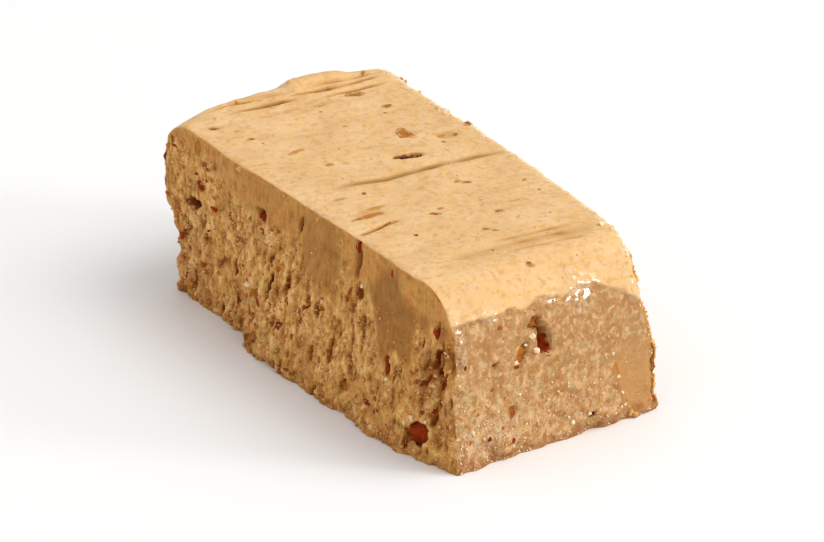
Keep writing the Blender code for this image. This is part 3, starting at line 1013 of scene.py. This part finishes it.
# In the holes and slits the DARK flakes are partly dark skin and partly painted shade
NEAR_SKINS = in_metres(4, (
    (-1.4, 11.0, 0.7, 1.3, 12, RED),
    (-2.6, 13.8, 0.7, 0.8, 0, 0.60),
    (-4.4, 10.6, 0.6, 1.3, -28, 0.58),
    (-4.8, 9.8, 0.4, 0.5, 0, RED),
    (-5.7, 4.9, 0.4, 0.7, 15, 0.50),
    (-8.7, 2.8, 0.28, 0.32, 20, DARK),
    (-5.8, 1.9, 0.3, 0.4, 0, 0.20),
    (-9.9, 5.7, 0.26, 0.24, 0, BROWN),
    (-11.0, 3.0, 0.22, 0.3, 0, BROWN),
    (-7.1, 3.6, 0.24, 0.24, 0, BROWN),
    (-7.2, 14.5, 0.4, 0.3, 0, BROWN),
    (-7.8, 10.5, 0.2, 0.3, 0, DARK),
    (-11.6, 11.3, 0.2, 0.3, 0, DARK),
    (8.2, 5.6, 0.2, 1.4, 12, ORANGE),
    (4.5, 1.8, 0.3, 0.4, 0, DARK),
))
SCATTERED_SKINS = {"top": 45, "front": 120, "back": 190, "near": 16, "far": 40}


def on_side(side, first, second, values):
    """Values of the paste's grid at places on the block's side, blended between its nearest points."""
    first_places, second_places, *_ = SIDES[side]
    rows, columns = len(first_places), len(second_places)
    row = np.clip(np.interp(first, first_places, np.arange(rows)), 0, rows - 1.001)
    column = np.clip(np.interp(second, second_places, np.arange(columns)), 0, columns - 1.001)
    i, j = row.astype(int), column.astype(int)
    u, v = row - i, column - j
    index = side_index[side]
    if values.ndim == 2:
        u, v = u[..., None], v[..., None]
    low = values[index[i, j]] * (1 - u) + values[index[i + 1, j]] * u
    high = values[index[i, j + 1]] * (1 - u) + values[index[i + 1, j + 1]] * u
    return low * (1 - v) + high * v


def random_places(side, count, first_range, second_range, random):
    """Random places on the block's side, within two ranges given as shares of its size."""
    width, height = (np.ptp(places) for places in SIDES[side][:2])
    first = random.uniform(*first_range, count) * width
    second = random.uniform(*second_range, count) * height
    return first, second - (0.5 * height if side == "top" else 0.0)


def closed_faces(rings, around):
    """The faces of a closed form: a point, rings of points beyond it, and one last point."""
    faces = []
    last = 1 + rings * around
    for step in range(around):
        following = (step + 1) % around
        faces.append((0, 1 + step, 1 + following))
        for inner in range(1, last - around, around):
            outer = inner + around
            faces.append((inner + step, outer + step, outer + following, inner + following))
        faces.append((last, last - around + following, last - around + step))
    return faces


def joined(faces, copies, points_each):
    """The same faces again for each copy, with the points' numbers moved on."""
    all_faces = []
    for copy in range(copies):
        shift = copy * points_each
        all_faces.extend([tuple(point + shift for point in face) for face in faces])
    return all_faces


def skin_flakes(side, flakes, random):
    """Thin lenses with wavy outlines that follow the paste: a polar grid laid on one side of it.

    A point at the share s of the way out and the angle a lies at s (1 + waves(a)) times the half
    length and width, turned by the tilt, and stands T (1 - s^4) off the paste, less a little.
    """
    first, second, half_first, half_second, tilt, tone = np.array(flakes).T[:, :, None]
    ring_shares = np.arange(1, FLAKE_RINGS + 1) / FLAKE_RINGS
    ring_angles = np.arange(FLAKE_AROUND) * 2 * math.pi / FLAKE_AROUND
    share = np.concatenate([[0.0], np.repeat(ring_shares, FLAKE_AROUND), [0.0]])
    angle = np.concatenate([[0.0], np.tile(ring_angles, FLAKE_RINGS), [0.0]])
    if side in TURNED_SIDES:
        angle = -angle
    waves = np.zeros((len(flakes), len(angle)))
    for lobes in (2, 3, 5):
        strength = random.uniform(0.03, 0.15, (len(flakes), 1))
        turn = random.uniform(0.0, 2 * math.pi, (len(flakes), 1))
        waves += strength * np.sin(lobes * angle + turn)
    reach = share * (1.0 + waves)
    turn = np.radians(tilt)
    right, up = reach * np.cos(angle) * half_first, reach * np.sin(angle) * half_second
    a = first + right * np.cos(turn) - up * np.sin(turn)
    b = second + right * np.sin(turn) + up * np.cos(turn)
    lift = SKIN_THICKNESS * (1.0 - share**4) - 0.3 * SKIN_THICKNESS + np.zeros_like(a)
    lift[:, -1] = -3.0 * SKIN_THICKNESS
    sheet = on_side(side, a, b, paste_points) + on_side(side, a, b, paste_normals) * lift[..., None]
    return sheet, np.repeat(tone, share.size, axis=1), np.tile(share, (len(flakes), 1))


def to_block(side, flakes):
    """Flakes given by the slice's own places, moved to places on the block's side."""
    moved = []
    for along, across, *rest in flakes:
        if side == "top":
            moved.append((along + END_SKEW * across - MIDDLE_X, across, *rest))
        elif side == "front":
            upright = along - END_SKEW * THICKNESS / 2 - MIDDLE_X
            moved.append((upright - END_SKEW * float(foot_spread(upright, across)), across, *rest))
        else:
            moved.append((along, across, *rest))
    return moved


def scattered_flakes(side, count, random):
    """Small flakes spread over a side, most of them tiny, a few of them large."""
    first, second = random_places(side, count, (-0.48, 0.48), (0.05, 0.95), random)
    largest = {"top": 0.00035, "near": 0.00020}.get(side, 0.00060)
    size = 0.00012 + largest * random.random(count) ** 2.5
    slim = random.uniform(0.35, 0.95, count)
    tilt = random.uniform(0.0, 180.0, count)
    middle, lowest = {"top": (0.80, 0.50), "near": (0.70, 0.45)}.get(side, (0.40, 0.0))
    tone = np.clip(random.normal(middle, 0.22, count), lowest, 1.0)
    flakes = np.stack([first, second, size, size * slim, tilt, tone], axis=1)
    if side in ("front", "back"):
        flakes = flakes[(on_side(side, first, second, torn) > 0.3) | (size < 0.00020)]
    return flakes.tolist()


random = np.random.default_rng(5)
shown_skins = {"top": TOP_SKINS, "front": FRONT_SKINS, "back": (), "near": NEAR_SKINS, "far": ()}
shown_skins = {side: to_block(side, skins) for side, skins in shown_skins.items()}
HOSTS = {"top": 0.0, "near": 0.5, "far": 0.5, "front": 1.0, "back": 1.0}  # which paste is the film's
batches = []
for side, shown in shown_skins.items():
    flakes = [*shown, *scattered_flakes(side, SCATTERED_SKINS[side], random)]
    sheet, tone, share = skin_flakes(side, flakes, random)
    batches.append((sheet, tone, share, np.full(share.shape, HOSTS[side])))
sheets, tones, shares, hosts = (np.concatenate(values) for values in zip(*batches))
skins = new_piece(
    "almond_skins",
    sheets.reshape(-1, 3),
    joined(closed_faces(FLAKE_RINGS, FLAKE_AROUND), len(sheets), sheets.shape[1]),
    {"tone": tones.reshape(-1), "share": shares.reshape(-1), "host": hosts.reshape(-1)},
)
skin_finish, place, shader = new_finish("almond_skin", {"Specular IOR Level": 0.04, "Coat Roughness": 0.25})
fine = place.noise(0.00028, 3.0)
tone = stored(place, "tone") + 0.35 * (place.noise(0.0008, 3.0) - 0.5)
skin_colour = tone.ramp(
    (0.00, (0.120, 0.022, 0.004)),
    (0.25, (0.300, 0.032, 0.004)),
    (0.45, (0.310, 0.080, 0.011)),
    (0.66, (0.500, 0.185, 0.022)),
    (0.80, (0.540, 0.250, 0.060)),
    (0.93, (0.270, 0.125, 0.018)),
    (1.00, (0.360, 0.200, 0.048)),
)
host_colour = stored(place, "host").ramp((0.0, TOP_PASTE), (0.5, END_PASTE), (1.0, CUT_PASTE))
film = stored(place, "share") * 0.70 + 1.2 * (place.noise(0.00065, 3.0) - 0.5)
film = film - 0.35 * stored(place, "host") - 0.6 * (0.35 - tone).over(0.0, 0.3)
feed(
    shader,
    Base_Color=film.over(0.30, 0.85).mix(skin_colour, host_colour),
    Roughness=0.45 + 0.2 * fine,
    Coat_Weight=0.06 * place.noise(0.0008).over(0.5, 0.7),
    Normal=bumped(place, fine, 0.00008),
)
skins.data.materials.append(skin_finish)
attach(skins, "root")


# Crushed almond.
# Angular grains and paste crumbs, from 0.15 to 1 mm, that stand half out of the torn parts of
# the cuts, the grainy foot of the ends, the broken foot all round and the top's back edge.
def pebble(rings, around):
    """A ball's unit points: a pole, rings at equal angles from it, and the other pole."""
    latitude = np.arange(1, rings + 1) * math.pi / (rings + 1)
    longitude = np.arange(around) * 2 * math.pi / around
    ring = np.stack([
        np.sin(latitude)[:, None] * np.cos(longitude),
        np.sin(latitude)[:, None] * np.sin(longitude),
        np.cos(latitude)[:, None] + 0.0 * longitude,
    ], axis=-1).reshape(-1, 3)
    return np.concatenate([[[0.0, 0.0, 1.0]], ring, [[0.0, 0.0, -1.0]]])


def turned(count, random):
    """Random turns, one to each grain, from unit quaternions."""
    quaternions = random.normal(size=(count, 4))
    w, x, y, z = quaternions.T / np.linalg.norm(quaternions, axis=1)
    return np.stack([
        1 - 2 * (y * y + z * z), 2 * (x * y - z * w), 2 * (x * z + y * w),
        2 * (x * y + z * w), 1 - 2 * (x * x + z * z), 2 * (y * z - x * w),
        2 * (x * z - y * w), 2 * (y * z + x * w), 1 - 2 * (x * x + y * y),
    ], axis=1).reshape(count, 3, 3)


def grains(centres, normals, sizes, stand_out, ball, random):
    """Angular chips: a ball's points pushed in and out at random, flattened, turned, half sunk."""
    count = len(centres)
    ball = ball[None] * random.uniform(0.60, 1.25, (count, len(ball), 1))
    ball = ball * random.uniform(0.5, 1.0, (count, 1, 3)) * sizes[:, None, None]
    ball = np.einsum("nij,npj->npi", turned(count, random), ball)
    return ball + (centres + normals * (sizes * stand_out)[:, None])[:, None, :]


# Pale grains that show one by one, the palest partly a painted highlight where glints show: (place along,
# place across, half size)
SHOWN_GRAINS = {
    "near": (
        (-3.0, 12.5, 0.45),
        (-2.6, 10.8, 0.4),
        (-5.1, 10.0, 0.35),
        (-3.6, 11.6, 0.3),
        (4.1, 2.1, 0.3),
        (7.4, 7.8, 0.24),
        (8.1, 5.0, 0.3),
        (8.5, 3.2, 0.34),
        (8.7, 1.8, 0.26),
    ),
    "front": (
        (-9.4, 7.2, 0.45),
        (12.2, 14.5, 0.4),
        (23.3, 4.1, 0.45),
        (25.1, 4.2, 0.35),
        (22.6, 3.4, 0.3),
        (18.5, 6.6, 0.35),
    ),
    "top": ((20.0, 11.8, 0.45), (-15.0, 12.8, 0.4)),
}


def grain_places(side, count, share_at, random):
    """Random places on a side, kept where a share from 0 to 1 beats another random number."""
    first, second = random_places(side, count, (-0.495, 0.495), (0.0, 0.99), random)
    keep = on_side(side, first, second, share_at) > random.random(count)
    for along, across, half_first, half_second, *_ in shown_skins[side]:
        keep &= np.hypot((first - along) / half_first, (second - across) / half_second) > 1.2
    first, second = first[keep], second[keep]
    return on_side(side, first, second, paste_points), on_side(side, first, second, paste_normals)


# How likely a grain is at each point of the paste
near_foot = 1.0 - smooth_step(0.0006, 0.0028, paste_points[:, 2])
grainy_end = np.abs(form_normals[:, 0]) ** 2 * (1.0 - smooth_step(0.0035, 0.0095, paste_points[:, 2]))
by_front = 1.0 - smooth_step(-0.0124, -0.0110, paste_points[:, 1])
grainy_end += 0.6 * on_near_end * by_front * (1.0 - skinned)
grainy_end *= 1.0 + 1.2 * on_near_end * (1.0 - smooth_step(-0.0070, -0.0010, paste_points[:, 1]))
grain_share = 0.02 + 0.9 * torn + 0.5 * grainy_end * (1.0 - wiped)
grain_share += 0.4 * near_foot + 0.4 * corners - 0.4 * hollow
back_edge = smooth_step(0.0118, 0.0126, block_points[:, 1]) * smooth_step(0.017, 0.0185, block_points[:, 2])
grain_share *= 1.0 - smooth_step(0.6, 0.9, form_normals[:, 2])
grain_share = np.clip(grain_share + 0.7 * back_edge, 0.0, 1.0)
GRAIN_TONES = {"top": (0.95, 0.10), "near": (0.74, 0.16), "far": (0.80, 0.15)}  # mean and spread
CUT_GRAIN_TONES = (0.50, 0.20)
CUT_PALEST = 0.80
CUT_SHINE = 0.15
# Each kind: places tried on each side, smallest and largest half size, rings and points round, seed
CRUMB_KINDS = {
    "fine_crumb": (
        {"front": 6500, "back": 6500, "near": 2600, "far": 1600, "top": 6500},
        (0.00009, 0.00022),
        (2, 5),
        10,
    ),
    "coarse_crumb": (
        {"front": 1000, "back": 1200, "near": 180, "far": 240, "top": 800},
        (0.00022, 0.00046),
        (3, 6),
        12,
    ),
}

crumb_constants = {"IOR": 1.47, "Specular IOR Level": 0.25, **SOFT_INSIDE}
crumb_finish, place, shader = new_finish("almond_crumb", crumb_constants)
tone = stored(place, "tone") + 0.20 * (place.noise(0.0003) - 0.5)
crumb_colour = tone.ramp(
    (0.00, (0.360, 0.095, 0.012)),
    (0.35, (0.600, 0.240, 0.050)),
    (0.70, (0.740, 0.410, 0.145)),
    (1.00, (0.900, 0.680, 0.420)),
)
feed(
    shader,
    Base_Color=crumb_colour,
    Roughness=0.36 + 0.25 * place.noise(0.0006),
    Coat_Weight=stored(place, "oily") * place.noise(0.0010).over(0.35, 0.55),
    Normal=bumped(place, place.noise(0.00020, 3.0), 0.00004),
)
for kind, (tries, (smallest, largest), ball, seed) in CRUMB_KINDS.items():
    random = np.random.default_rng(seed)
    batches = []
    for side, count in tries.items():
        centres, normals = grain_places(side, count, grain_share, random)
        sizes = smallest + (largest - smallest) * random.random(len(centres)) ** 2
        stand_out = random.uniform(-0.35, 0.30, len(centres))
        tone = random.normal(*GRAIN_TONES.get(side, CUT_GRAIN_TONES), len(centres))
        if side in ("front", "back"):
            tone = np.minimum(tone, CUT_PALEST)
        if kind == "coarse_crumb" and side in SHOWN_GRAINS:
            along, across, half_size = np.array(to_block(side, in_metres(3, SHOWN_GRAINS[side]))).T
            centres = np.concatenate([centres, on_side(side, along, across, paste_points)])
            normals = np.concatenate([normals, on_side(side, along, across, paste_normals)])
            sizes = np.concatenate([sizes, half_size])
            stand_out = np.concatenate([stand_out, np.full(len(along), 0.3)])
            # Their palest tone is partly a painted highlight
            tone = np.concatenate([tone, np.full(len(along), 1.0)])
        centres[:, 2] = np.maximum(centres[:, 2], sizes * 0.95)
        facing = normals * [1.0, 1.0, 0.5]
        bodies = grains(centres, facing, sizes, stand_out, pebble(*ball), random)
        shine = np.full(len(centres), CUT_SHINE if side in ("front", "back") else 1.0)
        batches.append((bodies, np.clip(tone, 0.0, 1.0), shine))
    bodies, tones, shines = (np.concatenate(values) for values in zip(*batches))
    bodies[..., 2] = np.maximum(bodies[..., 2], 0.00002)
    crumb = new_piece(
        kind,
        bodies.reshape(-1, 3),
        joined(closed_faces(*ball), len(bodies), bodies.shape[1]),
        {"tone": np.repeat(tones, bodies.shape[1]), "oily": np.repeat(shines, bodies.shape[1])},
        smooth=False,
    )
    crumb.data.materials.append(crumb_finish)
    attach(crumb, "root")


# Floor, light and camera.
# A plain pale floor under a pale sky and one large soft light, above and behind the near end,
# so that the top is brightest and the front cut lies in soft shade. A small weak lamp beside it
# puts the bright points on the oily lip.
FLOOR_HALF = 3.0
VIEW_AZIMUTH, VIEW_ELEVATION = 59.84, 22.40
VIEW_DISTANCE = 1.1102
VIEW_TARGET = Vector((0.00083, 0.00057, 0.00892))
VIEW_ROLL = math.radians(-0.593)
LENS_MM, SENSOR_MM = 469.8, 36.0


def towards(azimuth, elevation):
    """The direction from the slice to something at an azimuth and elevation in degrees."""
    turn, rise = math.radians(azimuth), math.radians(elevation)
    return Vector((math.sin(turn) * math.cos(rise), -math.cos(turn) * math.cos(rise), math.sin(rise)))


def soft_light(name, azimuth, elevation, distance, size, power, colour):
    """A square area light of a size, aimed at the slice."""
    light = bpy.data.lights.new(name, "AREA")
    light.shape = "SQUARE"
    light.size = size
    light.energy = power
    light.color = colour
    holder = bpy.data.objects.new(name, light)
    direction = towards(azimuth, elevation)
    holder.location = VIEW_TARGET + direction * distance
    holder.rotation_euler = direction.to_track_quat("Z", "Y").to_euler()
    bpy.context.scene.collection.objects.link(holder)


floor_corners = [(FLOOR_HALF * x, FLOOR_HALF * y, 0.0) for x, y in ((-1, -1), (1, -1), (1, 1), (-1, 1))]
floor_mesh = bpy.data.meshes.new("floor")
floor_mesh.from_pydata(floor_corners, [], [(0, 1, 2, 3)])
floor = bpy.data.objects.new("floor", floor_mesh)
bpy.context.scene.collection.objects.link(floor)
floor_constants = {"Roughness": 0.75, "Base Color": (0.88, 0.88, 0.88, 1.0)}
floor_finish, place, shader = new_finish("floor", floor_constants)
floor.data.materials.append(floor_finish)
floor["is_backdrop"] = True

soft_light("key", 135.0, 56.0, 1.2, 0.90, 8.1, (1.0, 0.99, 0.97))
soft_light("sparkle", 136.0, 20.0, 1.1, 0.24, 3.0, (1.0, 1.0, 1.0))
world = bpy.data.worlds.new("studio")
world.use_nodes = True
sky = world.node_tree.nodes["Background"]
sky.inputs["Color"].default_value = (1.0, 1.0, 1.0, 1.0)
sky.inputs["Strength"].default_value = 0.71
bpy.context.scene.world = world

camera_data = bpy.data.cameras.new("camera")
camera_data.sensor_fit = "HORIZONTAL"
camera_data.sensor_width = SENSOR_MM
camera_data.lens = LENS_MM
camera_data.clip_end = 20.0
camera = bpy.data.objects.new("camera", camera_data)
back = towards(VIEW_AZIMUTH, VIEW_ELEVATION)
camera.location = VIEW_TARGET + back * VIEW_DISTANCE
camera_turn = back.to_track_quat("Z", "Y").to_matrix() @ Matrix.Rotation(VIEW_ROLL, 3, "Z")
camera.rotation_euler = camera_turn.to_euler()
bpy.context.scene.collection.objects.link(camera)
bpy.context.scene.camera = camera
bpy.context.scene.view_settings.view_transform = "Standard"

# The solid's box and the dressed slice's
sizes = {
    "solid": [[float(value) for value in corner] for corner in solid_box],
    "visual": [[float(value) for value in corner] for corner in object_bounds()],
}
